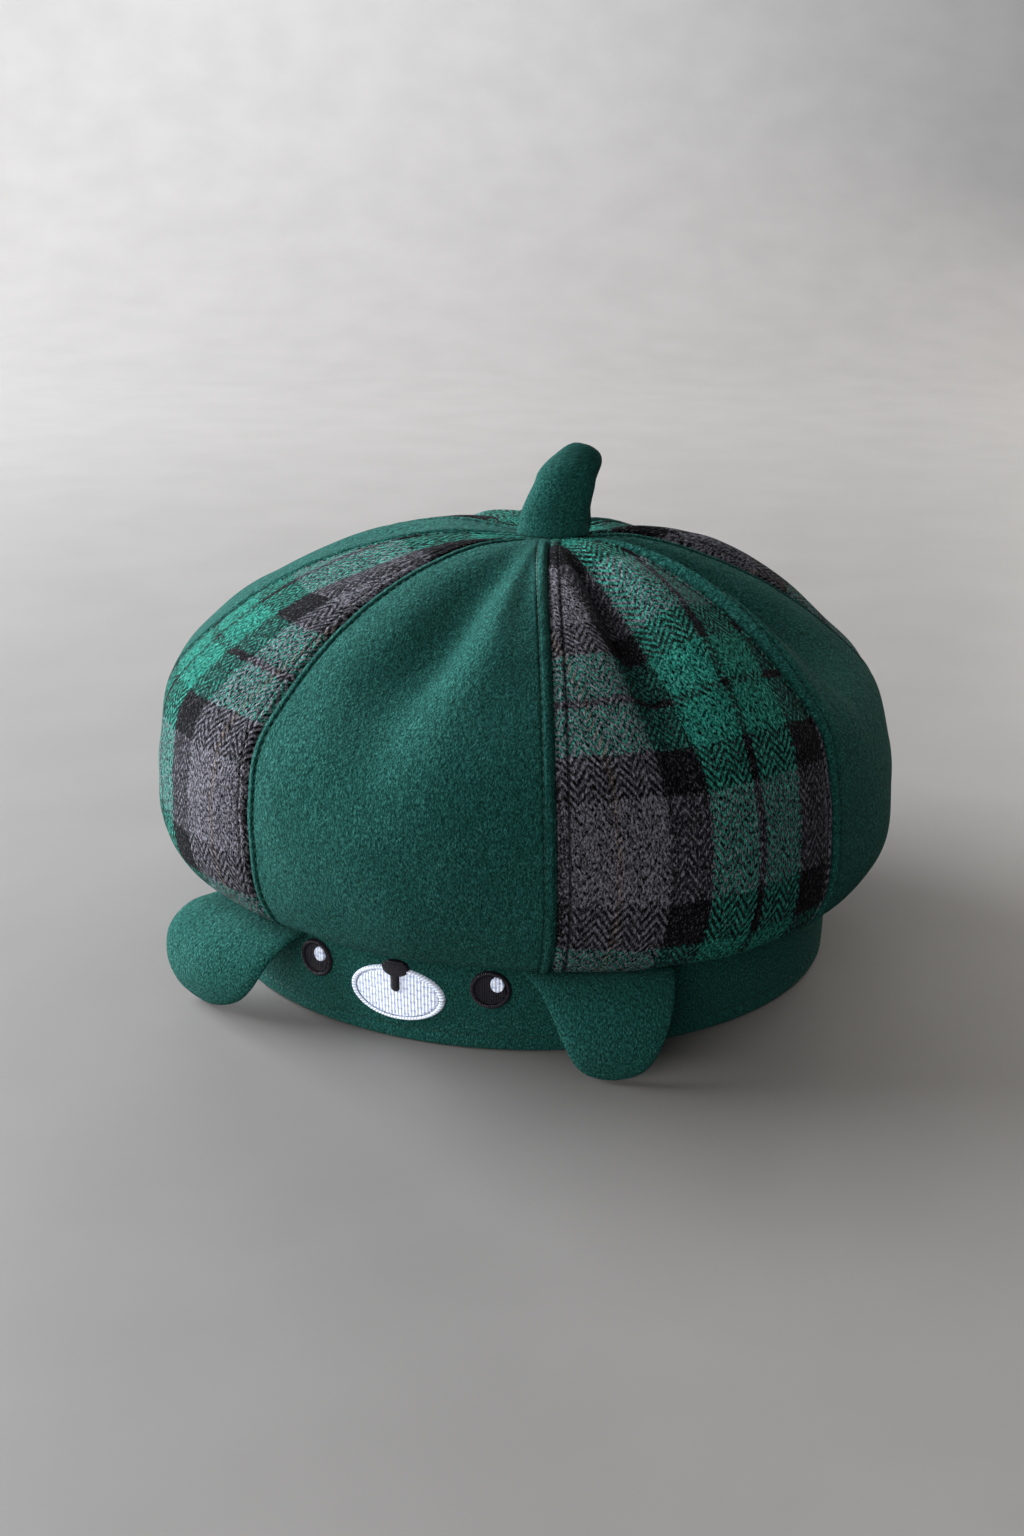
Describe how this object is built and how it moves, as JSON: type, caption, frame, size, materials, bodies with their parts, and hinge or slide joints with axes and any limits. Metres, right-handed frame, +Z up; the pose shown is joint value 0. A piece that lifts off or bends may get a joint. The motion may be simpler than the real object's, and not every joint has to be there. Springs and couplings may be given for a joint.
{
  "type": "tam o shanter",
  "caption": "Slouchy panelled wool cap in plain felt and plaid, with a stuffed stem on top, a plain band, floppy ears and a small embroidered animal face.",
  "frame": {"origin": "on the table that the band stands on, under the middle of the cap's box", "axes": "+Z up through the crown, -Y towards the embroidered face, +X to the right of someone who looks at the face"},
  "size_m": [0.2294, 0.223, 0.1513],
  "materials": {
    "plain_felt": "fulled green wool with a short soft nap",
    "plaid_wool": "herringbone wool plaid in green, grey and black",
    "black_thread": "satin-stitched thread",
    "white_thread": "satin-stitched thread"
  },
  "bodies": {
    "root": {"crown_panel_plain_1": "plain_felt", "crown_panel_plaid_1": "plaid_wool", "crown_panel_plain_2": "plain_felt", "crown_panel_plaid_2": "plaid_wool", "crown_panel_plain_3": "plain_felt", "crown_panel_plaid_3": "plaid_wool", "crown_panel_plain_4": "plain_felt", "crown_panel_plaid_4": "plaid_wool", "band": "plain_felt", "stem": "plain_felt", "ear_left": "plain_felt", "ear_right": "plain_felt", "eye_left": "black_thread", "eye_right": "black_thread", "eye_glint_left": "white_thread", "eye_glint_right": "white_thread", "muzzle": "white_thread", "nose": "black_thread"}
  },
  "joints": []
}
